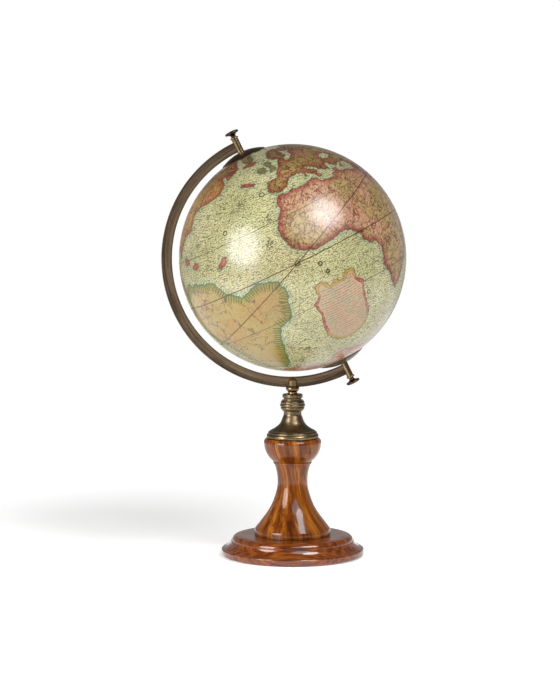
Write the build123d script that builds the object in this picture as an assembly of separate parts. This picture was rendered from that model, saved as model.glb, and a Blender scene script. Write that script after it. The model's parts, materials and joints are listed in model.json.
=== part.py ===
from build123d import *

import os
from math import asin, cos, degrees, radians, sin, sqrt

# Desktop globe on a turned wooden stand, as an assembly of separate pieces.
#
# Frame: millimetres, +Z up, origin at the middle of the felt's underside, which rests on the desk.
# The half-ring arm lies in the XZ plane, the map's front faces -Y and the axis leans towards -X.
# Each piece is written to parts/NODE.step.

# ---- Driving dimensions -------------------------------------------------------------------------
BALL_R = 125.0  # outside of the paper
AXIS_TILT = 26.0  # degrees from the vertical
BALL_Z = 331.0  # height of the ball's centre over the desk

FELT_R, FELT_T = 74.0, 1.2
BASE_R, BASE_TOP = 79.1, 23.2
COLUMN_TOP = 131.3
BELL_TOP = 161.7
COLLAR_TOP = 173.7
FLANGE_TOP = 180.4

ROD_R = 4.0  # tie rod, and the saddle's stud above it
FIT = 0.05  # radial clearance of a pin, stud or rod in its hole

# Ball
PAPER_T = 0.3
SHELL_T = 2.7
GORES = 12
BAND_T, BAND_HALF_ANGLE = 1.5, 4.0

# Arm, in the plane of the axis
ARM_OUT_R, ARM_IN_R = 142.0, 130.4
ARM_T = 4.0
ARM_BEVEL = 0.9
ARM_OFFSET = 2.75  # the arc's centre stands this far off the axis, so that its ends meet the sleeves

# Pole fittings, as radii and as distances along the axis from the ball's centre
PIN_R = 2.5
PIN_TIP = 116.0
BUSH_R, BUSH_FLANGE_R = 5.9, 8.4
BUSH_SEAT, BUSH_FLANGE_T, BUSH_INNER_END = 124.1, 1.5, 117.2
BUSH_NUT_R, BUSH_NUT_T = 9.0, 3.2
WASHER_R, WASHER_T = 5.4, 1.0
CAP_R, CAP_T, CAP_RISE, CAP_HOLE_R = 25.6, 1.1, 7.0, 4.3
SLEEVE_R, SLEEVE_LIP_R, SLEEVE_LIP_T, SLEEVE_END = 3.75, 4.6, 1.4, 147.0
KNOB_R, KNOB_START, KNOB_END, KNOB_NECK_R = 7.7, 150.7, 154.6, 2.6

# ---- Worked-out dimensions ----------------------------------------------------------------------
SHELL_R = BALL_R - PAPER_T
SHELL_IN_R = SHELL_R - SHELL_T
POLE_HOLE_R = BUSH_FLANGE_R + 0.2  # the spot-face under a bush's flange, and the hole in the paper
BUSH_TOP = BUSH_SEAT + BUSH_FLANGE_T
WASHER_START = BUSH_TOP + FIT
SLEEVE_START = WASHER_START + WASHER_T

AXIS_DIR = Vector(-sin(radians(AXIS_TILT)), 0, cos(radians(AXIS_TILT)))
SIDE_DIR = Vector(cos(radians(AXIS_TILT)), 0, sin(radians(AXIS_TILT)))
BALL_CENTRE = Vector(0, 0, BALL_Z)
NORTH = Location(Plane(origin=BALL_CENTRE, x_dir=SIDE_DIR, z_dir=AXIS_DIR))
SOUTH = Location(Plane(origin=BALL_CENTRE, x_dir=-SIDE_DIR, z_dir=-AXIS_DIR))
POLES = {"north": NORTH, "south": SOUTH}
ARM_CENTRE = BALL_CENTRE - SIDE_DIR * ARM_OFFSET
ARM_LOW_Z = ARM_CENTRE.Z - ARM_OUT_R


# ---- Small helpers ------------------------------------------------------------------------------
def turn(*edges):
    """A full turn about Z of the closed outline that the edges make in the XZ plane, x as radius."""
    return revolve(make_face(Wire(list(edges))), Axis.Z)


def at(r, z):
    return Vector(r, 0, z)


def line(a, b):
    return Line(at(*a), at(*b))


def path(*points):
    """Straight edges through the points, in order."""
    return [line(a, b) for a, b in zip(points, points[1:])]


def arc(a, middle, b):
    return ThreePointArc(at(*a), at(*middle), at(*b))


def bulge(a, b, height):
    """An arc from a to b that stands out by height on the left of the way from a to b."""
    dr, dz = b[0] - a[0], b[1] - a[1]
    length = sqrt(dr * dr + dz * dz)
    middle = ((a[0] + b[0]) / 2 - dz / length * height, (a[1] + b[1]) / 2 + dr / length * height)
    return arc(a, middle, b)


def crown(r, z, rise):
    """An arc from (r, z) up to the axis, part of a sphere that is centred on the axis."""
    sphere_r = (r * r + rise * rise) / (2 * rise)
    half = r / 2
    return arc((r, z), (half, z + rise - sphere_r + sqrt(sphere_r**2 - half**2)), (0, z + rise))


def ring(r_in, r_out, z_low, z_high):
    """A flat washer or tube about Z."""
    body = Pos(0, 0, (z_low + z_high) / 2) * Cylinder(r_out, z_high - z_low)
    return body - Pos(0, 0, (z_low + z_high) / 2) * Cylinder(r_in, z_high - z_low + 2)


def sphere_z(r, sphere_r):
    return sqrt(sphere_r * sphere_r - r * r)


def write(name, shape):
    export_step(shape, f"parts/{name}.step")


# ---- Stand --------------------------------------------------------------------------------------
NUT_FLATS, NUT_T = 13.0, 6.5
ROD_WASHER_R, ROD_WASHER_T = 11.0, 1.6
RECESS_R, RECESS_TOP = 16.5, 10.6
TENON_R, TENON_DEPTH = 14.0, 6.0
ROD_HOLE_R = ROD_R + 0.3


def base_felt():
    return Pos(0, 0, FELT_T / 2) * Cylinder(FELT_R, FELT_T)


def wooden_base():
    """Turned foot: a flat rim, a cove, a quirk and a rounded shoulder up to the column's seat."""
    rim_top, cove_top, quirk = 8.2, 16.6, 0.8
    shoulder_r, bead_r = 59.2, 67.4
    outline = [
        *path(
            (ROD_HOLE_R, RECESS_TOP),
            (RECESS_R, RECESS_TOP),
            (RECESS_R, FELT_T),
            (BASE_R - 1.0, FELT_T),
            (BASE_R, FELT_T + 1.0),
            (BASE_R, rim_top - 1.0),
        ),
        bulge((BASE_R, rim_top - 1.0), (BASE_R - 1.3, rim_top + 0.2), -0.35),
        bulge((BASE_R - 1.3, rim_top + 0.2), (bead_r + quirk, cove_top), 1.9),
        line((bead_r + quirk, cove_top), (bead_r, cove_top)),
        arc((bead_r, cove_top), (66.1, 20.9), (shoulder_r + 2.0, BASE_TOP - 0.35)),
        bulge((shoulder_r + 2.0, BASE_TOP - 0.35), (shoulder_r - 2.0, BASE_TOP), -0.05),
        *path(
            (shoulder_r - 2.0, BASE_TOP),
            (TENON_R, BASE_TOP),
            (TENON_R, BASE_TOP - TENON_DEPTH),
            (ROD_HOLE_R, BASE_TOP - TENON_DEPTH),
            (ROD_HOLE_R, RECESS_TOP),
        ),
    ]
    return turn(*outline)


def wooden_column():
    """Turned baluster: a tenon, a flared foot, a waist, a fillet, a bulb and a spigot for the bell."""
    foot_r, foot_top = 42.2, 29.4
    waist_r, waist_z = 16.7, 84.5
    neck_r, neck_z = 20.3, 102.7
    fillet_r, fillet_top = 21.5, 105.5
    bulb_r, bulb_z = 31.9, 125.2
    spigot_r, spigot_h = 12.0, 3.0
    flare = Spline(
        at(foot_r - 0.4, foot_top + 1.2),
        at(33.7, 41.0),
        at(25.9, 52.1),
        at(21.7, 61.0),
        at(18.7, 70.0),
        at(waist_r, waist_z),
        tangents=[(-0.80, 0, 1), (0, 0, 1)],
    )
    outline = [
        *path(
            (ROD_HOLE_R, BASE_TOP - TENON_DEPTH + 0.2),
            (TENON_R - FIT, BASE_TOP - TENON_DEPTH + 0.2),
            (TENON_R - FIT, BASE_TOP),
            (foot_r - 0.5, BASE_TOP),
            (foot_r, BASE_TOP + 0.5),
        ),
        bulge((foot_r, BASE_TOP + 0.5), (foot_r - 0.4, foot_top + 1.2), -0.45),
        flare,
        bulge((waist_r, waist_z), (neck_r, neck_z), 0.85),
        *path(
            (neck_r, neck_z),
            (fillet_r - 0.3, neck_z + 0.2),
            (fillet_r, neck_z + 0.6),
            (fillet_r, fillet_top - 0.6),
            (fillet_r - 0.5, fillet_top - 0.2),
            (fillet_r, fillet_top + 0.1),
        ),
        bulge((fillet_r, fillet_top + 0.1), (bulb_r, bulb_z), -2.4),
        bulge((bulb_r, bulb_z), (29.6, COLUMN_TOP), -0.95),
        *path(
            (29.6, COLUMN_TOP),
            (spigot_r, COLUMN_TOP),
            (spigot_r, COLUMN_TOP + spigot_h),
            (ROD_HOLE_R, COLUMN_TOP + spigot_h),
            (ROD_HOLE_R, BASE_TOP - TENON_DEPTH + 0.2),
        ),
    ]
    return turn(*outline)


def tie_rod():
    """Steel rod from the nut in the base up into the grooved collar."""
    low, high, chamfer_size = 2.2, COLLAR_TOP - 6.6, 0.6
    outline = path(
        (0, low),
        (ROD_R - chamfer_size, low),
        (ROD_R, low + chamfer_size),
        (ROD_R, high - chamfer_size),
        (ROD_R - chamfer_size, high),
        (0, high),
        (0, low),
    )
    return turn(*outline)


def rod_washer():
    return ring(ROD_R + 0.2, ROD_WASHER_R, RECESS_TOP - ROD_WASHER_T, RECESS_TOP)


def rod_nut():
    """Hexagon nut under the washer, its corners broken by a cone at each face."""
    top = RECESS_TOP - ROD_WASHER_T
    low = top - NUT_T
    hexagon = Pos(0, 0, low) * extrude(RegularPolygon(NUT_FLATS / 2, 6, major_radius=False), NUT_T)
    corner_r = NUT_FLATS / sqrt(3)
    cone_h = 0.9
    barrel = turn(
        *path(
            (0, low),
            (NUT_FLATS / 2, low),
            (corner_r + 0.2, low + cone_h),
            (corner_r + 0.2, top - cone_h),
            (NUT_FLATS / 2, top),
            (0, top),
            (0, low),
        )
    )
    return (hexagon & barrel) - Pos(0, 0, top - NUT_T / 2) * Cylinder(ROD_R + FIT, NUT_T + 2)


def bell_cap():
    """Spun brass bell over the column's top: a two-bead rim, a flare and a plain neck."""
    low, wall = COLUMN_TOP, 1.8
    rim_r, bead_r, neck_r = 28.7, 27.3, 9.8
    neck_low = 158.1
    flare_low = (24.9, 139.8)
    outer = [
        bulge((rim_r - 0.8, low), (rim_r - 0.7, low + 4.8), -0.9),
        line((rim_r - 0.7, low + 4.8), (bead_r - 0.2, low + 5.1)),
        bulge((bead_r - 0.2, low + 5.1), (bead_r - 0.9, low + 7.4), -0.45),
        line((bead_r - 0.9, low + 7.4), (flare_low[0], flare_low[1] - 0.4)),
        line((flare_low[0], flare_low[1] - 0.4), flare_low),
        Spline(
            at(*flare_low),
            at(17.8, 144.0),
            at(13.4, 148.6),
            at(10.8, 155.0),
            at(neck_r, neck_low),
            tangents=[(-1, 0, 0.42), (-0.08, 0, 1)],
        ),
    ]
    inner = Spline(
        at(neck_r - wall, neck_low - 3.0),
        at(13.4 - wall, 148.6 - 1.6),
        at(17.8 - 1.0, 144.0 - 2.3),
        at(22.9, 138.0),
        tangents=[(0.1, 0, -1), (1, 0, -0.5)],
    )
    outline = [
        line((26.5, low), (rim_r - 0.8, low)),
        *outer,
        *path(
            (neck_r, neck_low),
            (neck_r, BELL_TOP),
            (ROD_R + 0.2, BELL_TOP),
            (ROD_R + 0.2, neck_low - 3.0),
            (neck_r - wall, neck_low - 3.0),
        ),
        inner,
        bulge((22.9, 138.0), (26.5, low), 0.8),
    ]
    return turn(*outline)


def grooved_collar():
    """Barrel-shaped coupling nut with three ribs: the tie rod pulls on it and the arm's stud turns in it."""
    low, high = BELL_TOP, COLLAR_TOP
    end_r, middle_r, groove = 11.8, 13.8, 0.55
    ribs = [(low + 1.5, 12.4, 13.1), (low + 4.9, 13.5, 13.6), (low + 8.3, 13.1, 12.4)]
    rib_h, rib_crown = 2.8, 0.45
    outline = path((ROD_R + FIT, low), (end_r - 0.6, low), (end_r, low + 0.7))
    here = (end_r, low + 0.7)
    for z, r_low, r_high in ribs:
        start, stop = (r_low - 0.1, z), (r_high - 0.1, z + rib_h)
        outline += path(here, start)
        outline.append(bulge(start, stop, -rib_crown))
        here = (min(r_low, r_high, middle_r) - groove, z + rib_h + 0.3)
        outline += path(stop, here)
    outline += path(here, (end_r, high), (ROD_R + FIT, high), (ROD_R + FIT, low))
    return turn(*outline)


def top_flange():
    """Brass ferrule on the collar: a short neck under a rounded flange, which the saddle stands on."""
    neck_r, flange_r, flange_low = 9.8, 11.2, 176.0
    outline = [
        *path((ROD_R + FIT, COLLAR_TOP), (neck_r, COLLAR_TOP), (neck_r, flange_low - 0.5)),
        bulge((neck_r, flange_low - 0.5), (flange_r, flange_low + 0.6), 0.25),
        line((flange_r, flange_low + 0.6), (flange_r, FLANGE_TOP - 1.2)),
        bulge((flange_r, FLANGE_TOP - 1.2), (flange_r - 1.3, FLANGE_TOP), -0.35),
        *path(
            (flange_r - 1.3, FLANGE_TOP),
            (6.2, FLANGE_TOP),
            (5.9, FLANGE_TOP - 0.4),
            (ROD_R + FIT, FLANGE_TOP - 0.4),
            (ROD_R + FIT, COLLAR_TOP),
        ),
    ]
    return turn(*outline)


# ---- Arm ----------------------------------------------------------------------------------------
SADDLE_R, SADDLE_TOP = 5.5, 198.5
SCREW_R, SCREW_Z, SCREW_HEAD_R = 1.5, 193.5, 2.7
SCREW_HEAD_Y, SCREW_TIP_Y = 5.0, -4.0
SCREW_HEAD_T = SCREW_HEAD_R - SCREW_R


def screw_shape(clearance=0.0):
    """Countersunk screw along Y, its head on the arm's far side. Also cuts its own hole."""
    r, head_r = SCREW_R + clearance, SCREW_HEAD_R + clearance
    tip = SCREW_TIP_Y - clearance
    outline = path(
        (0, tip),
        (r - 0.4, tip),
        (r, tip + 0.4),
        (r, SCREW_HEAD_Y - SCREW_HEAD_T),
        (head_r, SCREW_HEAD_Y),
        (head_r, SCREW_HEAD_Y + (1.2 if clearance else 0.2)),
        (0, SCREW_HEAD_Y + (1.2 if clearance else 0.2)),
        (0, tip),
    )
    along_y = Plane(origin=(0, 0, SCREW_Z), x_dir=(1, 0, 0), z_dir=(0, 1, 0))
    return Location(along_y) * turn(*outline)


def arm_screw():
    slot_w, slot_depth = 0.7, 0.7
    slot = Box(2 * SCREW_HEAD_R + 1, 2 * slot_depth, slot_w)
    return screw_shape() - Pos(0, SCREW_HEAD_Y + 0.2, SCREW_Z) * slot


def arm_saddle():
    """Slotted, domed post that holds the arm. Its stud turns in the flange and collar."""
    stud_low, waist_r = COLLAR_TOP - 6.0, 5.1
    seat = FLANGE_TOP + FIT
    waist_top, bead_top, dome_low = 183.6, 189.0, 195.3
    outline = [
        *path(
            (0, stud_low),
            (ROD_R - 0.5, stud_low),
            (ROD_R, stud_low + 0.5),
            (ROD_R, seat),
            (waist_r + 0.8, seat),
        ),
        bulge((waist_r + 0.8, seat), (waist_r + 0.6, waist_top), 0.55),
        bulge((waist_r + 0.6, waist_top), (SADDLE_R + 0.4, bead_top), -1.7),
        *path((SADDLE_R + 0.4, bead_top), (SADDLE_R - 0.2, bead_top + 0.4), (SADDLE_R - 0.2, dome_low)),
        crown(SADDLE_R - 0.2, dome_low, SADDLE_TOP - dome_low),
        line((0, SADDLE_TOP), (0, stud_low)),
    ]
    slot_top = SADDLE_TOP + 5
    slot = Pos(0, 0, (ARM_LOW_Z + slot_top) / 2) * Box(40, ARM_T + 2 * FIT, slot_top - ARM_LOW_Z)
    return turn(*outline) - slot - screw_shape(FIT)


def meridian_arm():
    """Half ring of flat bar with bevelled edges, its ends hollowed to fit the sleeves."""
    half = ARM_T / 2
    bar = [
        (ARM_IN_R + ARM_BEVEL, -half),
        (ARM_OUT_R - ARM_BEVEL, -half),
        (ARM_OUT_R, -half + ARM_BEVEL),
        (ARM_OUT_R, half - ARM_BEVEL),
        (ARM_OUT_R - ARM_BEVEL, half),
        (ARM_IN_R + ARM_BEVEL, half),
        (ARM_IN_R, half - ARM_BEVEL),
        (ARM_IN_R, -half + ARM_BEVEL),
    ]
    whole = turn(*path(*bar, bar[0]))
    # In this local frame Z is the ring's own axis (along Y) and X is the globe's axis.
    size = 2.2 * ARM_OUT_R
    half_ring = whole & (Pos(0, size / 2, 0) * Box(size, size, 4 * ARM_T))
    flat = Plane(origin=ARM_CENTRE, x_dir=-AXIS_DIR, z_dir=(0, 1, 0))
    placed = Location(flat) * half_ring
    sleeve_bore = NORTH * Cylinder(SLEEVE_R, 4 * ARM_OUT_R)
    return placed - sleeve_bore - screw_shape(FIT)


# ---- Pole fittings: each is modelled along +Z from the ball's centre and placed at both poles ----
def pivot_sleeve():
    """Tube across each end of the arm, lipped at its outer end, threaded inside for the pin."""
    lip = SLEEVE_END - SLEEVE_LIP_T
    outline = [
        *path(
            (PIN_R + FIT, SLEEVE_START),
            (SLEEVE_R - 0.4, SLEEVE_START),
            (SLEEVE_R, SLEEVE_START + 0.4),
            (SLEEVE_R, lip - 0.3),
            (SLEEVE_LIP_R - 0.1, lip),
        ),
        bulge((SLEEVE_LIP_R - 0.1, lip), (SLEEVE_LIP_R - 0.3, SLEEVE_END), -0.25),
        *path((SLEEVE_LIP_R - 0.3, SLEEVE_END), (PIN_R + FIT, SLEEVE_END), (PIN_R + FIT, SLEEVE_START)),
    ]
    return turn(*outline)


def pivot_pin():
    """Thumb pin: a tapered tip in the bush, a shank through the sleeve and a domed knob."""
    shoulder = SLEEVE_END + 0.1
    edge_low, edge_high = KNOB_START + 0.5, KNOB_END - 0.9
    outline = [
        *path(
            (0, PIN_TIP),
            (PIN_R - 1.2, PIN_TIP),
            (PIN_R, PIN_TIP + 2.0),
            (PIN_R, shoulder),
            (KNOB_NECK_R + 0.5, shoulder),
            (KNOB_NECK_R + 0.5, shoulder + 0.7),
            (KNOB_NECK_R, shoulder + 1.0),
        ),
        bulge((KNOB_NECK_R, shoulder + 1.0), (KNOB_NECK_R + 2.4, KNOB_START), 0.55),
        line((KNOB_NECK_R + 2.4, KNOB_START), (KNOB_R - 0.7, edge_low)),
        bulge((KNOB_R - 0.7, edge_low), (KNOB_R - 0.7, edge_high), -0.75),
        crown(KNOB_R - 0.7, edge_high, KNOB_END - edge_high),
        line((0, KNOB_END), (0, PIN_TIP)),
    ]
    return turn(*outline)


def thrust_washer():
    return ring(PIN_R + 0.2, WASHER_R, WASHER_START, SLEEVE_START)


def pole_bush():
    """Flanged bearing in the ball's pole, held by a nut inside."""
    bore = PIN_R + FIT
    outline = path(
        (bore, BUSH_INNER_END),
        (BUSH_R - 0.5, BUSH_INNER_END),
        (BUSH_R, BUSH_INNER_END + 0.5),
        (BUSH_R, BUSH_SEAT),
        (BUSH_FLANGE_R, BUSH_SEAT),
        (BUSH_FLANGE_R, BUSH_TOP - 0.4),
        (BUSH_FLANGE_R - 0.4, BUSH_TOP),
        (bore, BUSH_TOP),
        (bore, BUSH_INNER_END),
    )
    return turn(*outline)


def bush_nut():
    """Round nut inside the shell, with two spanner flats."""
    high = sphere_z(BUSH_NUT_R, SHELL_IN_R) - 0.05
    low = high - BUSH_NUT_T
    flats = Pos(0, 0, (low + high) / 2) * Box(3 * BUSH_NUT_R, 1.7 * BUSH_NUT_R, 2 * BUSH_NUT_T)
    return ring(BUSH_R + FIT, BUSH_NUT_R, low, high) & flats


def pole_cap():
    """Domed brass cap over the gores' points, resting on the paper by its rim."""
    rim_z = sphere_z(CAP_R, BALL_R) + 0.08
    inner_r = CAP_R - 1.3
    inner_z = sphere_z(inner_r, BALL_R) + 0.08
    crown = rim_z + CAP_RISE

    def dome(r, rise, foot_r, foot_z):
        """Height at radius r of the round dome that rises by rise over a foot of radius foot_r."""
        dome_r = (foot_r * foot_r + rise * rise) / (2 * rise)
        return foot_z + rise - dome_r + sqrt(dome_r * dome_r - r * r)

    top_r, top_foot = CAP_R - 0.5, rim_z + 0.9
    top_rise = crown - top_foot
    under_rise = crown - CAP_T - inner_z
    middle = 14.0
    outline = [
        bulge((inner_r, inner_z), (CAP_R, rim_z), 0.0017),
        bulge((CAP_R, rim_z), (top_r, top_foot), -0.25),
        arc(
            (top_r, top_foot),
            (middle, dome(middle, top_rise, top_r, top_foot)),
            (CAP_HOLE_R, dome(CAP_HOLE_R, top_rise, top_r, top_foot)),
        ),
        line(
            (CAP_HOLE_R, dome(CAP_HOLE_R, top_rise, top_r, top_foot)),
            (CAP_HOLE_R, dome(CAP_HOLE_R, under_rise, inner_r, inner_z)),
        ),
        arc(
            (CAP_HOLE_R, dome(CAP_HOLE_R, under_rise, inner_r, inner_z)),
            (middle, dome(middle, under_rise, inner_r, inner_z)),
            (inner_r, inner_z),
        ),
    ]
    return turn(*outline)


# ---- Ball: modelled about Z at the origin ---------------------------------------------------------
def polar(radius, angle):
    """Radius and height of the point on a sphere at that angle from the pole, in degrees."""
    return radius * sin(radians(angle)), radius * cos(radians(angle))


def sphere_wall(r_in, r_out, first, last):
    """Outline of a spherical wall from one polar angle to another."""
    half_way = (first + last) / 2
    return [
        arc(polar(r_out, first), polar(r_out, half_way), polar(r_out, last)),
        line(polar(r_out, last), polar(r_in, last)),
        arc(polar(r_in, last), polar(r_in, half_way), polar(r_in, first)),
        line(polar(r_in, first), polar(r_out, first)),
    ]


def map_gores():
    """Paper gores, each a separate skin from pole to pole."""
    hole = degrees(asin(POLE_HOLE_R / BALL_R))
    profile = make_face(Wire(sphere_wall(SHELL_R, BALL_R, hole, 180 - hole)))
    width = 360 / GORES
    gore = revolve(profile, Axis.Z, revolution_arc=width)
    return [Rot(0, 0, k * width) * gore for k in range(GORES)]


def hemisphere_shell():
    """Half of the ball's core, with a flat seat and a hole at the pole for the bush."""
    start = degrees(asin(BUSH_R / 2 / SHELL_R))
    shell = turn(*sphere_wall(SHELL_IN_R, SHELL_R, start, 90))
    bush_hole = Pos(0, 0, SHELL_R) * Cylinder(BUSH_R + FIT, 20)
    return shell - bush_hole - Pos(0, 0, BUSH_SEAT + 5) * Cylinder(POLE_HOLE_R, 10)


def equator_band():
    """Strip glued inside over the joint of the two shells."""
    outline = sphere_wall(
        SHELL_IN_R - BAND_T, SHELL_IN_R - 0.05, 90 - BAND_HALF_ANGLE, 90 + BAND_HALF_ANGLE
    )
    return turn(*outline)


# ---- Write every node -----------------------------------------------------------------------------
os.makedirs("parts", exist_ok=True)

stand = [
    base_felt,
    wooden_base,
    wooden_column,
    tie_rod,
    rod_washer,
    rod_nut,
    bell_cap,
    grooved_collar,
    top_flange,
    arm_saddle,
    arm_screw,
    meridian_arm,
]
for make in stand:
    write(make.__name__, make())

fittings = [pivot_sleeve, pivot_pin, thrust_washer, pole_bush, bush_nut, pole_cap, hemisphere_shell]
for make in fittings:
    piece = make()
    for pole, place in POLES.items():
        write(f"{pole}_{make.__name__}", place * piece)

write("equator_band", NORTH * equator_band())
for number, gore in enumerate(map_gores(), start=1):
    write(f"map_gore_{number:02d}", NORTH * gore)
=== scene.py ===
import json
from collections import namedtuple
from math import cos, pi, radians, sin

import bpy
import numpy as np
from mathutils import Matrix, Vector


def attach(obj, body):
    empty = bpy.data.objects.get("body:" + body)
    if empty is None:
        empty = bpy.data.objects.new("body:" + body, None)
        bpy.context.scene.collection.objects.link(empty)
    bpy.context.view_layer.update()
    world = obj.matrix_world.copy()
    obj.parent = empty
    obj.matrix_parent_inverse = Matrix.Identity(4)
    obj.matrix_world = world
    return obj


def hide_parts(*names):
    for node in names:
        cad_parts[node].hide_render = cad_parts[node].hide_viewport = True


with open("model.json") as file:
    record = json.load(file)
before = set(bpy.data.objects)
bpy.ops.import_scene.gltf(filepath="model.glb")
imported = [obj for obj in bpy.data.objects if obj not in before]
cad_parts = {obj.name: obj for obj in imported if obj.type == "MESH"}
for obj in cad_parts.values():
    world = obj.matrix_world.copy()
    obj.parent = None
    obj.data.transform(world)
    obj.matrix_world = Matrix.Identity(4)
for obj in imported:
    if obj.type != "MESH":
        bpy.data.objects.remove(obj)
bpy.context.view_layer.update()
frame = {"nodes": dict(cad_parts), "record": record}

# The desktop globe's looks: the printed ball, the metal, the wood, and a plain studio.
# Lengths are metres, or millimetres where a name or a comment says mm. Places on the map are degrees
# of longitude and latitude.

JOINTS = {joint["name"]: joint for joint in frame["record"]["behaviour"]["joints"]}
BALL_CENTRE = Vector(JOINTS["globe_spin"]["pos_m"])
BALL_AXIS = Vector(JOINTS["globe_spin"]["axis"])
BALL_R = 0.125
BALL_R_MM = BALL_R * 1000
ARM_OFFSET = 0.00275  # the arm's arc is centred this far off the ball's axis
ARM_MIDDLE_R = 0.1362  # halfway between the arm's inner and outer edges

# ---- Node trees ---------------------------------------------------------------------------------

# A Mix node's sockets when it mixes colours.
MIX_FACTOR, MIX_FIRST, MIX_SECOND, MIX_RESULT = 0, 6, 7, 2


def srgb(red, green, blue):
    """A screen colour from 0 to 255, as the linear colour that a shader takes."""

    def linear(level):
        level /= 255
        return level / 12.92 if level <= 0.04045 else ((level + 0.055) / 1.055) ** 2.4

    return (linear(red), linear(green), linear(blue), 1.0)


class Tree:
    """A material's node tree. Each call adds a node and returns the socket that holds its result."""

    def __init__(self, name):
        self.material = bpy.data.materials.new(name)
        self.material.use_nodes = True
        self.nodes = self.material.node_tree.nodes
        self.links = self.material.node_tree.links
        self.nodes.clear()
        self.coordinates = self.add("ShaderNodeTexCoord").outputs["Object"]

    def add(self, kind, **settings):
        node = self.nodes.new(kind)
        for name, value in settings.items():
            setattr(node, name, value)
        return node

    def plug(self, socket, value):
        if isinstance(value, bpy.types.NodeSocket):
            self.links.new(value, socket)
        else:
            socket.default_value = value

    def math(self, operation, *values, clamp=False):
        node = self.add("ShaderNodeMath", operation=operation, use_clamp=clamp)
        for socket, value in zip(node.inputs, values):
            self.plug(socket, value)
        return node.outputs[0]

    def vector(self, operation, *values):
        node = self.add("ShaderNodeVectorMath", operation=operation)
        for socket, value in zip(node.inputs, values):
            self.plug(socket, value)
        return node.outputs["Value" if operation in ("DOT_PRODUCT", "LENGTH") else "Vector"]

    def scaled(self, vector, scale):
        return self.vector("MULTIPLY", vector, scale)

    def parts(self, vector):
        node = self.add("ShaderNodeSeparateXYZ")
        self.plug(node.inputs[0], vector)
        return node.outputs[0], node.outputs[1], node.outputs[2]

    def joined(self, x, y, z):
        node = self.add("ShaderNodeCombineXYZ")
        for socket, value in zip(node.inputs, (x, y, z)):
            self.plug(socket, value)
        return node.outputs[0]

    def attribute(self, name, output="Fac"):
        return self.add("ShaderNodeAttribute", attribute_name=name).outputs[output]

    def noise(self, scale, detail=2.0, roughness=0.5, distortion=0.0, at=None):
        node = self.add("ShaderNodeTexNoise")
        self.plug(node.inputs["Vector"], at or self.coordinates)
        node.inputs["Scale"].default_value = scale
        node.inputs["Detail"].default_value = detail
        node.inputs["Roughness"].default_value = roughness
        node.inputs["Distortion"].default_value = distortion
        return node.outputs["Fac"]

    def between(self, value, low, high, to_low=0.0, to_high=1.0):
        """Runs smoothly from to_low to to_high while value goes from low to high."""
        node = self.add("ShaderNodeMapRange", interpolation_type="SMOOTHSTEP")
        for socket, item in zip(node.inputs, (value, low, high, to_low, to_high)):
            self.plug(socket, item)
        return node.outputs[0]

    def line(self, distance, half_width, soft=0.16):
        """1 within half_width of where distance is 0, fading to 0 over soft."""
        size = self.math("ABSOLUTE", distance)
        return self.between(size, half_width, half_width + soft, 1.0, 0.0)

    def mix(self, factor, first, second, blend="MIX"):
        """The colour first where factor is 0 and second, or its blend with first, where it is 1."""
        node = self.add("ShaderNodeMix", data_type="RGBA", blend_type=blend)
        self.plug(node.inputs[MIX_FACTOR], factor)
        self.plug(node.inputs[MIX_FIRST], first)
        self.plug(node.inputs[MIX_SECOND], second)
        return node.outputs[MIX_RESULT]

    def times(self, *values):
        result = values[0]
        for value in values[1:]:
            result = self.math("MULTIPLY", result, value)
        return result

    def ramp(self, value, *stops):
        """A colour that changes along value, given as (place, colour) pairs."""
        node = self.add("ShaderNodeValToRGB")
        self.plug(node.inputs[0], value)
        elements = node.color_ramp.elements
        while len(elements) < len(stops):
            elements.new(0.5)
        for element, (place, colour) in zip(elements, stops):
            element.position = place
            element.color = colour
        return node.outputs[0]

    def bump(self, height, distance, strength=1.0):
        node = self.add("ShaderNodeBump")
        node.inputs["Strength"].default_value = strength
        node.inputs["Distance"].default_value = distance
        self.plug(node.inputs["Height"], height)
        return node.outputs[0]

    def finish(self, **sockets):
        """A Principled surface with these inputs, named with _ for a space."""
        shader = self.add("ShaderNodeBsdfPrincipled")
        for name, value in sockets.items():
            self.plug(shader.inputs[name.replace("_", " ")], value)
        output = self.add("ShaderNodeOutputMaterial")
        self.links.new(shader.outputs[0], output.inputs["Surface"])
        return self.material


# ---- The map: outlines as (longitude, latitude) from the prime meridian --------------------------

# wash colours the land and edge its coast. hatch, from 0 to 1, is how far spokes replace the hills.
Land = namedtuple("Land", "wash edge hatch outlines")

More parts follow.
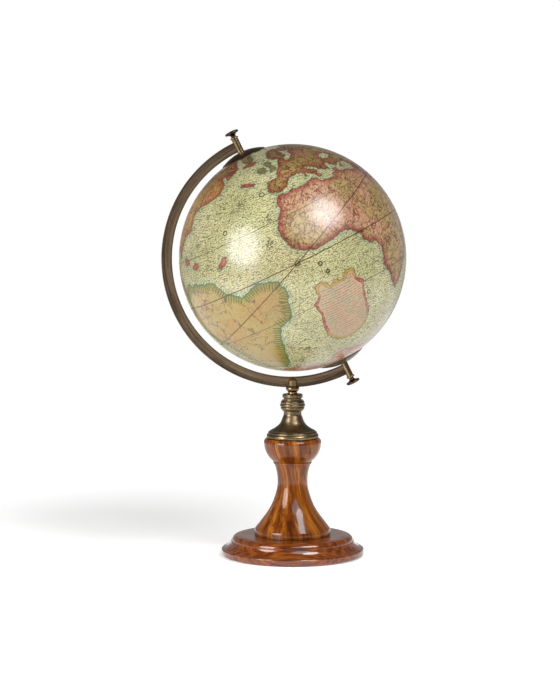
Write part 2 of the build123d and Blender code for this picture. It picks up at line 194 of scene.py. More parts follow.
AFRICA = [
    (13, 34), (8, 35), (5, 32), (5, 28), (3, 25), (1, 23), (-1, 18), (-1, 14), (0, 11), (1, 8),
    (5, 5), (12, 2), (20, 3), (26, 4), (30, 4), (34, 2), (37, -1), (37, -4), (40, -7), (45, -8),
    (47, -12), (47, -16), (46, -20), (48, -23), (51, -28), (53, -32), (57, -36), (61, -33),
    (67, -28), (71, -23), (77, -18), (76, -12), (81, -5), (87, 2), (94, 11), (88, 12), (83, 14),
    (79, 20), (74, 27), (70, 31), (68, 28), (60, 31), (56, 31), (52, 33), (47, 32), (47, 30), (41, 31),
    (36, 32), (35, 35), (29, 35), (23, 34), (16, 35),
]
EURASIA = [
    (11, 37), (6, 38), (4, 40), (6, 45), (16, 46), (15, 48), (20, 51), (25, 55), (27, 57), (29, 57),
    (28, 59), (24, 60), (23, 63), (30, 68), (40, 71), (50, 69), (58, 66), (62, 69), (75, 71),
    (90, 74), (110, 77), (130, 74), (150, 73), (170, 71), (187, 67), (180, 62), (166, 60), (157, 51),
    (150, 42), (150, 35), (147, 28), (141, 22), (137, 19), (138, 13), (134, 9), (130, 12), (131, 6),
    (129, 1), (127, 8), (125, 16), (122, 21), (117, 17), (113, 11), (110, 8), (107, 13), (105, 21),
    (99, 25), (92, 26), (84, 29), (86, 25), (93, 23), (94, 18), (86, 13), (83, 16), (77, 26), (71, 31),
    (69, 36), (62, 37), (57, 36), (53, 38), (53, 40), (51, 40), (48, 40), (49, 36), (45, 37), (42, 40),
    (37, 44), (35, 44), (36, 41), (40, 39), (37, 36), (33, 40), (28, 42), (21, 42), (18, 41), (16, 38),
]
NORTH_AMERICA = [
    (-18, 78), (-15, 66), (-26, 60), (-30, 65), (-36, 64), (-29, 58), (-33, 53), (-39, 51), (-54, 50),
    (-60, 48), (-62, 44), (-61, 38), (-69, 36), (-73, 31), (-76, 26), (-79, 30), (-86, 30), (-91, 26),
    (-91, 20), (-85, 19), (-80, 22), (-83, 16), (-79, 14), (-77, 9), (-79, 7), (-85, 11), (-94, 16),
    (-104, 20), (-111, 25), (-119, 32), (-127, 40), (-136, 45), (-150, 52), (-166, 60), (-172, 67),
    (-160, 71), (-130, 73), (-100, 73), (-70, 72), (-50, 75), (-32, 79),
]
SOUTH_AMERICA = [
    (-74, 9), (-70, 12), (-65, 10), (-60, 11), (-54, 9), (-49, 9), (-46, 8), (-44, 5), (-41, 1),
    (-36, -2), (-33, -4), (-30, -3), (-27, -2), (-22, -1), (-18, -2), (-13, -4), (-11, -8), (-11, -12),
    (-13, -15), (-14, -20), (-16, -24), (-20, -25), (-24, -26), (-27, -31), (-31, -36), (-35, -43),
    (-42, -50), (-52, -54), (-64, -48), (-65, -40), (-66, -33), (-68, -25), (-76, -18), (-82, -12),
    (-82, -5), (-78, 1), (-79, 6),
]
SOUTH_LAND = [
    (-34, -63), (-25, -67), (-15, -67), (-8, -63), (-1, -61), (9, -62), (20, -64), (36, -69), (60, -62),
    (84, -50), (92, -43), (101, -50), (120, -54), (138, -41), (146, -30), (158, -34), (172, -48),
    (190, -54), (215, -56), (240, -50), (262, -54), (280, -57), (300, -56), (315, -58),
]


BLOB_CORNERS = 9


def blob(lon, lat, width, height, lean=0.0):
    """A small egg-shaped island, its width and height in degrees of latitude."""
    corners = []
    for step in range(BLOB_CORNERS):
        angle = 2 * pi * step / BLOB_CORNERS
        size = 1.0 + 0.22 * sin(2.3 * angle + lon) + 0.13 * sin(5 * angle + lat)
        east = size * width / 2 * cos(angle)
        north = size * height / 2 * sin(angle)
        turned_east = east * cos(radians(lean)) - north * sin(radians(lean))
        turned_north = east * sin(radians(lean)) + north * cos(radians(lean))
        corners.append((lon + turned_east / cos(radians(lat)), lat + turned_north))
    return corners


GREENLAND = [(-12, 83), (-8, 76), (-4, 70), (3, 65), (9, 69), (13, 76), (24, 82)]
BRITAIN = [(13, 51), (18, 51), (20, 53), (18, 56), (20, 58), (18, 61), (14, 60), (14, 56), (15, 53)]
LANDS = [
    Land(srgb(188, 144, 112), srgb(146, 34, 52), 0.3, [AFRICA]),
    Land(srgb(136, 110, 60), srgb(134, 64, 40), 0.15, [EURASIA]),
    Land(srgb(198, 152, 78), srgb(166, 44, 40), 0.3, [NORTH_AMERICA]),
    Land(srgb(160, 130, 66), srgb(124, 130, 10), 1.0, [SOUTH_AMERICA]),
    Land(srgb(214, 160, 122), srgb(196, 104, 76), 0.2, [SOUTH_LAND]),
    Land(srgb(176, 146, 96), srgb(112, 116, 74), 0.3, [GREENLAND, BRITAIN, blob(8, 55, 4, 5)]),
    Land(
        srgb(196, 128, 100),
        srgb(170, 70, 62),
        0.2,
        [
            blob(-66, 23, 7, 3, -12),
            blob(-57, 19, 5, 3),
            blob(-61, 53, 5, 4),
            blob(1, 65, 6, 4),
            blob(88, -20, 5, 14, -18),
            blob(117, 7, 3, 4),
            blob(131, -1, 4, 13, 40),
            blob(142, 1, 9, 9),
            blob(140, -7, 12, 3, -6),
            blob(152, 0, 5, 9, 20),
            blob(153, 14, 4, 9, 15),
            blob(166, -5, 18, 8, -12),
            blob(163, 36, 7, 13, 35),
            blob(-7.6, 49.4, 9, 2, -32),
            blob(-36, 15.4, 6, 3, 40),
            blob(31, 41, 1.6, 2.4),
            blob(31, 38.6, 1.6, 2.4),
            blob(38, 35.2, 3, 1.8),
            blob(52, 34.4, 3, 1.4),
            blob(61, 34.2, 3, 1.4),
        ],
    ),
]
# Inland water, cut out of the lands.
LAKES = [
    [(54, 43), (58, 42), (64, 42), (69, 43), (66, 46), (60, 47), (56, 46)],
    [(81, 38), (86, 38), (88, 42), (84, 46), (79, 45), (80, 41)],
    [(31, 54), (37, 54), (43, 57), (46, 60), (53, 61), (46, 62), (43, 66), (40, 62), (37, 58), (33, 57)],
]
# A plain shield in the southern ocean, and its right half as mm east and north of its middle.
PANEL_PLACE = (13.8, -32.4)
PANEL_HALF = [
    (0, 38), (8, 34), (16, 43), (26, 39), (24, 28), (32, 19), (28, 6), (28, -10), (26, -26), (17, -39),
    (5, -43),
]
RULE_GAP = 2.9  # mm from one of the shield's ruled lines to the next
# Open rings, and small clusters of pen strokes on the sea: longitude, latitude and radius in mm.
RINGS = [
    (0, 0, 2.6), (-1, 40, 2.6), (-30, 29, 2.4), (10, -5, 2.0), (12, -10, 2.0), (31, -30, 2.2),
    (-33, -53, 2.4), (-120, 10, 2.6), (-150, -25, 2.6), (100, -30, 2.6), (170, 15, 2.6),
]
MARKS = [
    (-16, 40, 7), (-43, 42, 4), (-3, 26, 7), (-8, 14, 7), (-53, 29, 5), (10, -5, 4), (12, -10, 4),
    (-47, 16, 6), (-39, 14, 5), (22, -14, 4), (-20, -46, 6), (-110, -20, 9), (-140, 12, 8),
    (100, -12, 8), (95, -38, 7), (60, -48, 8), (-160, -45, 9), (175, 30, 8),
]
WIND_PLACES = [
    (0, 0), (45, 0), (90, 0), (135, 0), (180, 0), (225, 0), (270, 0), (315, 0),
    (-22, 38), (30, -38), (75, -36), (120, 38), (165, -36), (210, 38), (255, -38), (-28, -40), (-60, 26),
]
WIND_ANGLE = 22.5  # degrees between the lines from one place
WIND_REACH = 42.0  # degrees of arc at which they have faded out
MAP_TURN = radians(-87.7)  # where the prime meridian stands, about the axis
TROPIC = 23.5
POLAR_CIRCLE = 66.5
NET_STEP = 10  # degrees of latitude between the faint parallels
SPOKE_GAP = 3.2  # mm along the coast from one spoke to the next
WAVE_GAP = 2.3  # mm from one row of engraved water to the next
REACH = 20.0  # mm, the farthest that the distances to coasts and to the shield are kept


def map_axes():
    """The map's X (to the prime meridian), Y and Z (to the north pole) in the scene, as rows."""
    side = Vector((0, 1, 0)).cross(BALL_AXIS)
    turned = Matrix((side, (0, 1, 0), BALL_AXIS)).transposed() @ Matrix.Rotation(MAP_TURN, 3, "Z")
    return np.array(turned.transposed())


MAP_AXES = map_axes()


def direction(lon, lat):
    """The unit vectors of these places, in the map's own frame."""
    lon, lat = np.radians(lon), np.radians(lat)
    return np.stack([np.cos(lat) * np.cos(lon), np.cos(lat) * np.sin(lon), np.sin(lat)], axis=-1)


def side_axes(middle):
    """East and north at a place on the unit ball."""
    east = np.cross((0, 0, 1), middle)
    east /= np.linalg.norm(east)
    return east, np.cross(middle, east)


BEYOND = 9.0  # farther, on the unit ball and on a plane that touches it, than any outline's corner
LEAST_FACING = 0.05  # points that face the outline less than this are too far round to be inside it


def inside(points, corners):
    """Which points lie in the outline. On a plane that touches the ball, great circles are straight."""
    middle = corners.mean(axis=0)
    middle /= np.linalg.norm(middle)
    east, north = side_axes(middle)
    facing = points @ middle
    near = facing > LEAST_FACING
    x = np.where(near, points @ east, BEYOND) / np.where(near, facing, 1.0)
    y = np.where(near, points @ north, BEYOND) / np.where(near, facing, 1.0)
    corner_x = (corners @ east) / (corners @ middle)
    corner_y = (corners @ north) / (corners @ middle)
    result = np.zeros(len(points), bool)
    for ax, ay, bx, by in zip(corner_x, corner_y, np.roll(corner_x, -1), np.roll(corner_y, -1)):
        crosses = (ay > y) != (by > y)
        rise = by - ay if by != ay else 1.0
        result ^= crosses & (x < ax + (y - ay) * (bx - ax) / rise)
    return result & near


def outline_distance(points, corners):
    """Distance in mm to the outline, over 0 inside it, and how far along it the nearest place is."""
    nearest = np.full(len(points), BEYOND)
    along = np.zeros(len(points))
    run = 0.0
    for start, stop in zip(corners, np.roll(corners, -1, axis=0)):
        normal = np.cross(start, stop)
        normal /= np.linalg.norm(normal)
        onward = np.cross(normal, start)
        length = np.arccos(np.clip(start @ stop, -1, 1))
        angle = np.clip(np.arctan2(points @ onward, points @ start), 0, length)
        place = np.outer(np.cos(angle), start) + np.outer(np.sin(angle), onward)
        distance = np.linalg.norm(points - place, axis=1)
        closer = distance < nearest
        nearest = np.where(closer, distance, nearest)
        along = np.where(closer, run + angle, along)
        run += length
    sign = np.where(inside(points, corners), 1.0, -1.0)
    return sign * nearest * BALL_R_MM, along * BALL_R_MM


def panel_corners():
    """The shield's corners on the unit ball, both halves."""
    middle = direction(*PANEL_PLACE)
    east, north = side_axes(middle)
    left = [(-x, y) for x, y in reversed(PANEL_HALF[1:])]
    places = [middle + (east * x + north * y) / BALL_R_MM for x, y in PANEL_HALF + left]
    return np.array([place / np.linalg.norm(place) for place in places])


def map_attributes(points):
    """What the map's colours need at each point of the unit ball, by attribute name.

    coast and panel are mm inside an outline, under 0 outside it. along is mm along the coast.
    """
    coast = np.full(len(points), -np.inf)
    along = np.zeros(len(points))
    hatch = np.zeros(len(points))
    wash = np.zeros((len(points), 4))
    edge = np.zeros((len(points), 4))
    for land in LANDS:
        for outline in land.outlines:
            lons, lats = np.array(outline, float).T
            distance, place = outline_distance(points, direction(lons, lats))
            best = distance > coast
            coast = np.where(best, distance, coast)
            along = np.where(best, place, along)
            hatch = np.where(best, land.hatch, hatch)
            wash[best] = land.wash
            edge[best] = land.edge
    for outline in LAKES:
        lons, lats = np.array(outline, float).T
        distance, _ = outline_distance(points, direction(lons, lats))
        coast = np.minimum(coast, -distance)
    panel, _ = outline_distance(points, panel_corners())
    return {
        "coast": np.clip(coast, -REACH, REACH),
        "along": along,
        "hatch": hatch,
        "wash": wash,
        "edge": edge,
        "panel": np.clip(panel, -REACH, REACH),
    }


def map_material():
    """Hand-coloured print on aged paper, under gloss varnish, with painted shade towards the poles."""
    t = Tree("varnished_map")
    t.coordinates = t.joined(*[t.vector("DOT_PRODUCT", t.coordinates, tuple(axis)) for axis in MAP_AXES])
    ball = t.vector("NORMALIZE", t.coordinates)
    _, _, z = t.parts(ball)
    grain = t.noise(260, 3.0, 0.6)
    patches = t.noise(26, 3.0)
    wander = t.math("SUBTRACT", t.noise(150, 2.0), 0.5)
    wander_fine = t.math("SUBTRACT", t.noise(480, 2.0), 0.5)
    coast = t.math("MULTIPLY_ADD", wander, 5.0, t.attribute("coast"))
    coast = t.math("MULTIPLY_ADD", wander_fine, 2.6, coast)
    land = t.between(coast, -0.2, 0.2)
    sea = t.math("SUBTRACT", 1.0, land)
    hatch = t.attribute("hatch")
    wash = t.attribute("wash", "Color")
    edge = t.attribute("edge", "Color")

    # Sea: cream paper with a green cast and a blue-green wash along the coasts, under engraved strokes.
    water = t.mix(t.between(patches, 0.35, 0.65), srgb(180, 178, 128), srgb(194, 189, 142))
    shore = t.times(t.between(coast, -8.0, 0.0), t.between(grain, 0.25, 0.7, 0.45, 1.0))
    water = t.mix(t.times(shore, 0.6), water, srgb(124, 160, 132))
    water = t.mix(t.times(engraved_water(t, z), 0.66), water, srgb(62, 58, 30))
    crackle = t.line(t.math("SUBTRACT", t.noise(300, 1.0), 0.5), 0.012, 0.03)
    water = t.mix(t.times(crackle, 0.75), water, srgb(68, 60, 32))
    water = t.mix(t.times(smudges(t, ball), 0.85), water, srgb(58, 56, 40))
    winds = wind_lines(t, ball)
    water = t.mix(t.times(winds, 0.7), water, srgb(76, 62, 32))

    # Land: a wash in warm and green patches, with rivers and ridges.
    ground = t.mix(t.between(patches, 0.4, 0.56, 0.0, 0.75), wash, srgb(156, 142, 82))
    warm = t.times(t.between(t.noise(48, 3.0), 0.52, 0.64, 0.0, 0.5), t.math("SUBTRACT", 1.0, hatch))
    ground = t.mix(warm, ground, srgb(178, 108, 92))
    ground = t.mix(t.between(grain, 0.4, 0.7, 0.0, 0.25), ground, srgb(140, 92, 54))
    rivers = t.line(t.math("SUBTRACT", t.noise(34, 4.0, 0.6, 0.4), 0.5), 0.006, 0.007)
    ground = t.mix(t.times(rivers, 0.8), ground, srgb(100, 38, 26))
    ridges = t.line(t.math("SUBTRACT", t.noise(105, 3.0, 0.6), 0.5), 0.012, 0.018)
    bare = t.math("MULTIPLY_ADD", hatch, -0.75, 1.0)
    ridges = t.times(ridges, t.between(t.noise(30, 1.0), 0.3, 0.45, 0.3, 1.0), bare)

    # The coast: a coloured band with the ridges and hills over it, spokes across it, a dark outline.
    inland = t.math("DIVIDE", coast, t.math("MULTIPLY_ADD", hatch, 0.7, 0.8))
    band = t.times(t.between(inland, 1.5, 7.5, 1.0, 0.0), t.between(grain, 0.3, 0.7, 0.65, 1.0))
    ground = t.mix(t.times(band, 0.8), ground, edge)
    ground = t.mix(t.times(ridges, 0.85), ground, srgb(74, 32, 18))
    clusters = t.between(t.noise(70, 2.0), 0.38, 0.58, 0.5, 1.0)
    ground = t.mix(t.times(hill_strokes(t), clusters, bare, 0.9), ground, srgb(56, 32, 18))
    spoke = t.math("SINE", t.math("MULTIPLY", t.attribute("along"), pi / SPOKE_GAP))
    spoke = t.times(t.line(spoke, 0.36, 0.4), t.between(coast, 6.0, 11.0, 1.0, 0.0), hatch)
    ground = t.mix(t.times(spoke, 0.85), ground, srgb(66, 62, 18))
    colour = t.mix(land, water, ground)
    outline = t.mix(hatch, t.mix(0.5, edge, srgb(70, 26, 24)), srgb(52, 88, 60))
    colour = t.mix(t.times(t.line(coast, 0.4, 0.8), 0.9), colour, outline)

    # Circles: faint parallels on the sea, tropics and polar circles, then the equator and the ecliptic.
    latitude = t.math("MULTIPLY", t.math("ARCSINE", z), BALL_R_MM)
    half_step = radians(NET_STEP) * BALL_R_MM / 2
    parallel = t.math("SUBTRACT", t.math("PINGPONG", latitude, half_step), half_step)
    colour = t.mix(t.times(t.line(parallel, 0.05, 0.2), sea, 0.25), colour, srgb(90, 78, 50))
    circles = ((TROPIC, 0.85), (-TROPIC, 0.85), (POLAR_CIRCLE, 0.5), (-POLAR_CIRCLE, 0.5))
    for place, strength in circles:
        offset = t.math("SUBTRACT", latitude, radians(place) * BALL_R_MM)
        colour = t.mix(t.times(t.line(offset, 0.22, 0.26), strength), colour, srgb(76, 46, 22))
    tilt = radians(TROPIC)
    ecliptic = t.vector("DOT_PRODUCT", ball, (0.0, -sin(tilt) * BALL_R_MM, cos(tilt) * BALL_R_MM))
    for distance in (latitude, ecliptic):
        colour = t.mix(t.times(t.line(distance, 0.34, 0.35), 0.95), colour, srgb(64, 30, 14))
    colour = ring_marks(t, ball, colour)
    colour = shield(t, ball, colour)

    # Age: a brown cast in patches. Painted shade: darker towards both poles, in the north mostly on
    # land.
    age = t.between(t.noise(11, 3.0), 0.45, 0.75, 0.0, 0.22)
    # Painted shade on the ball's top, mostly on land, and on its bottom.
    north = t.times(t.between(z, 0.74, 0.94, 0.0, 0.6), t.math("MULTIPLY_ADD", land, 0.8, 0.2))
    pole_shade = t.math("ADD", north, t.between(z, -0.8, -1.0, 0.0, 0.3))
    colour = t.mix(t.math("ADD", age, pole_shade, clamp=True), colour, srgb(150, 112, 60), "MULTIPLY")
    return t.finish(
        Base_Color=colour,
        Roughness=t.between(grain, 0.3, 0.7, 0.42, 0.56),
        Normal=t.bump(t.noise(140, 3.0), 0.0002, 0.25),
        Coat_Weight=1.0,
        Coat_Roughness=0.24,
        Coat_IOR=1.6,
        Specular_IOR_Level=0.12,
    )


def wind_lines(t, ball):
    """Straight lines of the winds, fanning out from places on the sea."""
    total = None
    for lon, lat in WIND_PLACES:
        middle = direction(lon, lat)
        east, north = side_axes(middle)
        right = t.vector("DOT_PRODUCT", ball, tuple(east * BALL_R_MM))
        up = t.vector("DOT_PRODUCT", ball, tuple(north * BALL_R_MM))
        ahead = t.vector("DOT_PRODUCT", ball, tuple(middle))
        angle = t.math("ARCTAN2", up, right)
        off_angle = t.math("PINGPONG", angle, radians(WIND_ANGLE / 2))
        reach = t.vector("LENGTH", t.joined(right, up, 0.0))
        gap = t.math("MULTIPLY", t.math("SINE", off_angle), reach)
        mask = t.between(gap, 0.08, 0.26, 1.0, 0.0)
        mask = t.math("MULTIPLY", mask, t.between(ahead, cos(radians(WIND_REACH)), 0.95))
        total = mask if total is None else t.math("MAXIMUM", total, mask)
    return total


def distance_from(t, ball, lon, lat):
    """Distance in mm from this place."""
    offset = t.vector("SUBTRACT", ball, tuple(direction(lon, lat)))
    return t.math("MULTIPLY", t.vector("LENGTH", offset), BALL_R_MM)


def smudges(t, ball):
    """Small dark clusters of pen strokes at a few places on the sea."""
    total = None
    strokes = t.between(t.noise(420, 3.0, 0.7), 0.47, 0.56)
    for lon, lat, radius in MARKS:
        distance = distance_from(t, ball, lon, lat)
        mask = t.between(distance, 0.5 * radius, radius, 1.0, 0.0)
        total = mask if total is None else t.math("MAXIMUM", total, mask)
    return t.times(total, strokes)


def engraved_water(t, z):
    """Broken wavy strokes, roughly along the parallels."""
    height = t.math("MULTIPLY", z, BALL_R_MM)
    sway = t.math("MULTIPLY", t.noise(38, 2.0), 16.0)
    ripple = t.math("MULTIPLY", t.noise(210, 1.0), 3.5)
    phase = t.math("ADD", t.math("ADD", height, sway), ripple)
    wave = t.math("SINE", t.math("MULTIPLY", phase, 2 * pi / WAVE_GAP))
    breaks = t.between(t.noise(520, 1.0), 0.4, 0.52)
    return t.times(t.between(wave, 0.0, 0.7), breaks)


def hill_strokes(t):
    """Short dark strokes that lean one way, thick and thin."""
    leaning = t.vector("DOT_PRODUCT", t.coordinates, (0.0, 0.8, 0.6))
    across = t.vector("DOT_PRODUCT", t.coordinates, (0.0, -0.6, 0.8))
    x, _, _ = t.parts(t.coordinates)
    place = t.joined(t.math("MULTIPLY", leaning, 0.35), across, t.math("MULTIPLY", x, 0.5))
    return t.between(t.noise(720, 2.0, 0.6, at=place), 0.52, 0.6)


def ring_marks(t, ball, colour):
    """Small open rings, each drawn about a place."""
    for lon, lat, radius in RINGS:
        distance = distance_from(t, ball, lon, lat)
        hoop = t.line(t.math("SUBTRACT", distance, radius), 0.38, 0.35)
        colour = t.mix(t.times(hoop, 0.95), colour, srgb(60, 46, 30))
    return colour


def shield(t, ball, colour):
    """A plain framed panel with ruled lines."""
    panel = t.math("MULTIPLY_ADD", t.math("SUBTRACT", t.noise(170, 2.0), 0.5), 6.0, t.attribute("panel"))
    _, north = side_axes(direction(*PANEL_PLACE))
    up = t.vector("DOT_PRODUCT", ball, tuple(north * BALL_R_MM))
    fill = t.mix(t.between(t.noise(60, 2.0), 0.4, 0.6), srgb(178, 146, 112), srgb(164, 148, 112))
    row = t.math("SUBTRACT", t.math("PINGPONG", up, RULE_GAP), RULE_GAP / 2)
    breaks = t.between(t.noise(380, 2.0), 0.4, 0.5)
    rows = t.times(t.line(row, 0.35, 0.5), t.between(panel, 4.0, 5.0), breaks)
    fill = t.mix(t.times(rows, 0.6), fill, srgb(92, 74, 62))
    colour = t.mix(t.between(panel, -0.2, 0.2), colour, fill)
    gilt = t.between(t.math("ABSOLUTE", t.math("SUBTRACT", up, 4.0)), 22.0, 27.0)
    warm = t.mix(gilt, srgb(148, 40, 38), srgb(156, 128, 10))
    band = t.line(t.math("SUBTRACT", panel, 1.4), 1.3, 0.7)
    colour = t.mix(t.times(band, t.between(t.noise(300, 2.0), 0.35, 0.6, 0.45, 0.95)), colour, warm)
    inner = t.line(t.math("SUBTRACT", panel, 3.0), 0.1, 0.4)
    rims = t.math("MAXIMUM", t.line(panel, 0.2, 0.4), t.times(inner, 0.6))
    return t.mix(t.times(rims, 0.9), colour, srgb(84, 48, 22))


# ---- The ball: paper gores ----------------------------------------------------------------------

GORES = 12
GORE_COLUMNS = 40
GORE_ROWS = 230
PAPER_T = 0.00026  # a hair under the CAD paper, so that it stays clear of the shell
POLE_HOLE_R = 0.0086  # the hole round a pole's bush


def gore_mesh(name, first_lon):
    """One paper gore as a closed thin sheet from pole to pole, about the ball's centre."""
    hole = np.degrees(np.arcsin(POLE_HOLE_R / BALL_R))
    lons = np.linspace(first_lon, first_lon + 360 / GORES, GORE_COLUMNS + 1)
    lats = np.linspace(hole - 90, 90 - hole, GORE_ROWS + 1)
    grid_lat, grid_lon = np.meshgrid(lats, lons, indexing="ij")
    skin = direction(grid_lon.ravel(), grid_lat.ravel())
    outward = skin @ MAP_AXES
    vertices = np.concatenate([outward * BALL_R, outward * (BALL_R - PAPER_T)])
    across = GORE_COLUMNS + 1
    index = np.arange(len(skin)).reshape(GORE_ROWS + 1, across)
    outer = np.stack([index[:-1, :-1], index[:-1, 1:], index[1:, 1:], index[1:, :-1]], -1).reshape(-1, 4)
    inner = outer[:, ::-1] + len(skin)
    rim = np.concatenate([index[0, :], index[1:, -1], index[-1, -2::-1], index[-2:0:-1, 0]])
    after = np.roll(rim, -1)
    walls = np.stack([after, rim, rim + len(skin), after + len(skin)], -1)
    faces = np.concatenate([outer, inner, walls])
    mesh = bpy.data.meshes.new(name)
    mesh.from_pydata(vertices.tolist(), [], faces.tolist())
    # Each skin takes the true ball's normals, so that no gloss shows the facets or the seams.
    mesh.polygons.foreach_set("use_smooth", np.ones(len(faces), bool))
    normals = np.concatenate([outward[outer], -outward[outer[:, ::-1]], wall_normals(vertices, walls)])
    mesh.normals_split_custom_set(normals.reshape(-1, 3).tolist())
    write_attributes(mesh, map_attributes(skin))
    return mesh


def wall_normals(vertices, walls):
    """The flat normal of each wall face, once for each of its corners."""
    corners = vertices[walls]
    flat = np.cross(corners[:, 1] - corners[:, 0], corners[:, 2] - corners[:, 1])
    flat /= np.linalg.norm(flat, axis=1, keepdims=True)
    return np.repeat(flat[:, None, :], 4, axis=1)


def write_attributes(mesh, values):
    """Stores each array on the mesh's outer skin, and again on its inner skin."""
    for name, value in values.items():
        both = np.concatenate([value, value]).astype(np.float32)
        if both.ndim == 2:
            mesh.attributes.new(name, "FLOAT_COLOR", "POINT").data.foreach_set("color", both.ravel())
        else:
            mesh.attributes.new(name, "FLOAT", "POINT").data.foreach_set("value", both)


def build_map(material):
    """The gores, each in place of the CAD node with its number."""
    for number in range(1, GORES + 1):
        first_lon = (number - 1) * 360 / GORES - np.degrees(MAP_TURN)
        name = f"printed_gore_{number:02d}"
        gore = bpy.data.objects.new(name, gore_mesh(name, first_lon))
        bpy.context.scene.collection.objects.link(gore)
        gore.location = BALL_CENTRE
        gore.data.materials.append(material)
        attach(gore, "globe")
        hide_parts(f"map_gore_{number:02d}")


# ---- Wood and metal -----------------------------------------------------------------------------

TURNED_R = 0.03  # where a turned outline's bend leaves the grain in its place
RINGS_PER_M = 620.0 / (2 * pi)  # growth rings
STREAK_R = 0.0025  # the arm's arc drawn in to this radius, which stretches the streaks along it


def wood(name, along, pith, lean, follow, dark, middle, light, coat_roughness, coat_ior):
    """Lacquered hardwood. along stretches the grain, pith is on the tree's middle line, lean tips it.

    follow, from 0 to 1, is how far the grain bends with the turned outline.
    """
    t = Tree(name)
    x, y, height = t.parts(t.coordinates)
    radius = t.vector("LENGTH", t.joined(x, y, 0.0))
    bend = t.math("POWER", t.math("DIVIDE", radius, TURNED_R), -follow)
    bent = t.scaled(t.coordinates, t.joined(bend, bend, 1.0))
    leaning = t.vector("ADD", bent, t.joined(t.math("MULTIPLY", height, lean), 0.0, 0.0))
    stretched = t.scaled(t.vector("SUBTRACT", leaning, pith), along)
    swirl = t.noise(30, 3.0, 0.55, at=stretched)
    rings = t.vector("LENGTH", stretched)
    phase = t.math("MULTIPLY_ADD", swirl, 22.0, t.math("MULTIPLY", rings, 2 * pi * RINGS_PER_M))
    figure = t.math("MULTIPLY_ADD", t.math("SINE", phase), 0.5, 0.5)
    streaks = t.noise(380, 4.0, 0.7, at=stretched)
    broad = t.noise(105, 2.0, at=stretched)
    tone = t.math("ADD", t.times(figure, 0.08), t.times(streaks, 0.56))
    tone = t.math("ADD", tone, t.times(broad, 0.4))
    colour = t.ramp(tone, (0.38, dark), (0.51, middle), (0.65, light))
    lines = t.between(t.noise(900, 2.0, at=stretched), 0.56, 0.66, 0.0, 0.6)
    colour = t.mix(lines, colour, dark)
    return t.finish(
        Base_Color=colour,
        Roughness=t.between(streaks, 0.3, 0.7, 0.32, 0.46),
        Normal=t.bump(t.noise(45, 2.0), 0.0003, 0.12),
        Specular_IOR_Level=0.05,
        Coat_Weight=1.0,
        Coat_Roughness=coat_roughness,
        Coat_IOR=coat_ior,
    )


def aged_metal(name, dark, light, roughness, turned=0.0):
    """Bronzed brass: patina in soft patches, rubbed light patches, and lathe lines if it was turned."""
    t = Tree(name)
    patina = t.noise(60, 4.0, 0.55)
    spots = t.noise(700, 2.0)
    tone = t.math("ADD", t.times(patina, 0.75), t.times(spots, 0.25))
    colour = t.mix(t.between(tone, 0.3, 0.7), dark, light)
    lines = t.noise(3200, 1.0, at=t.scaled(t.coordinates, (0.02, 0.02, 1.0)))
    height = t.math("ADD", t.times(lines, turned), t.times(spots, 0.4))
    return t.finish(
        Base_Color=colour,
        Metallic=1.0,
        Roughness=t.between(tone, 0.35, 0.65, roughness + 0.07, roughness),
        Normal=t.bump(height, 0.00002, 0.15),
    )


def brushed_arm(name, dark, light):
    """Bronzed flat bar, brushed along its arc."""
    t = Tree(name)
    side = Vector((0, 1, 0)).cross(BALL_AXIS)
    centre = BALL_CENTRE - side * ARM_OFFSET
    x, y, z = t.parts(t.vector("SUBTRACT", t.coordinates, tuple(centre)))
    radius = t.vector("LENGTH", t.joined(x, 0.0, z))
    angle = t.math("ARCTAN2", z, x)
    around = t.math("MULTIPLY", angle, STREAK_R)
    streaks = t.noise(900, 3.0, 0.6, at=t.joined(radius, around, y))
    patina = t.noise(40, 3.0, 0.6)
    worn = t.between(t.math("SUBTRACT", radius, ARM_MIDDLE_R), -0.004, 0.004, 1.0, 0.0)
    tone = t.math("ADD", t.times(streaks, 0.7), t.times(patina, 0.15))
    tone = t.math("ADD", tone, t.times(worn, 0.15))
    colour = t.mix(t.between(tone, 0.38, 0.66), dark, light)
    return t.finish(
        Base_Color=colour,
        Metallic=1.0,
        Roughness=t.between(tone, 0.35, 0.65, 0.52, 0.4),
        Normal=t.bump(streaks, 0.00004, 0.5),
    )


def felt():
    """Green pressed wool."""
    t = Tree("pressed_felt")
    fibres = t.noise(1800, 3.0, 0.7)
    colour = t.mix(t.between(fibres, 0.35, 0.65), srgb(30, 52, 36), srgb(58, 84, 58))
    return t.finish(Base_Color=colour, Roughness=0.95, Normal=t.bump(fibres, 0.0002), Sheen_Weight=0.3)


def pasteboard():
    """Pale brown board, unseen inside the paper."""
    t = Tree("pasteboard")
    fibres = t.noise(500, 3.0, 0.7)
    colour = t.mix(t.between(fibres, 0.35, 0.65), srgb(150, 122, 86), srgb(184, 158, 118))
    return t.finish(Base_Color=colour, Roughness=0.9, Normal=t.bump(fibres, 0.0002))


def plated_steel():
    """Zinc-plated steel with a faint bloom."""
    t = Tree("plated_steel")
    bloom = t.noise(180, 3.0, 0.6)
    colour = t.mix(t.between(bloom, 0.35, 0.65), srgb(150, 150, 146), srgb(196, 194, 186))
    return t.finish(Base_Color=colour, Metallic=1.0, Roughness=t.between(bloom, 0.3, 0.7, 0.3, 0.42))


def dress(material, *nodes):
    """Gives CAD nodes this material."""
    for node in nodes:
        piece = frame["nodes"][node]
        piece.data.materials.clear()
        piece.data.materials.append(material)


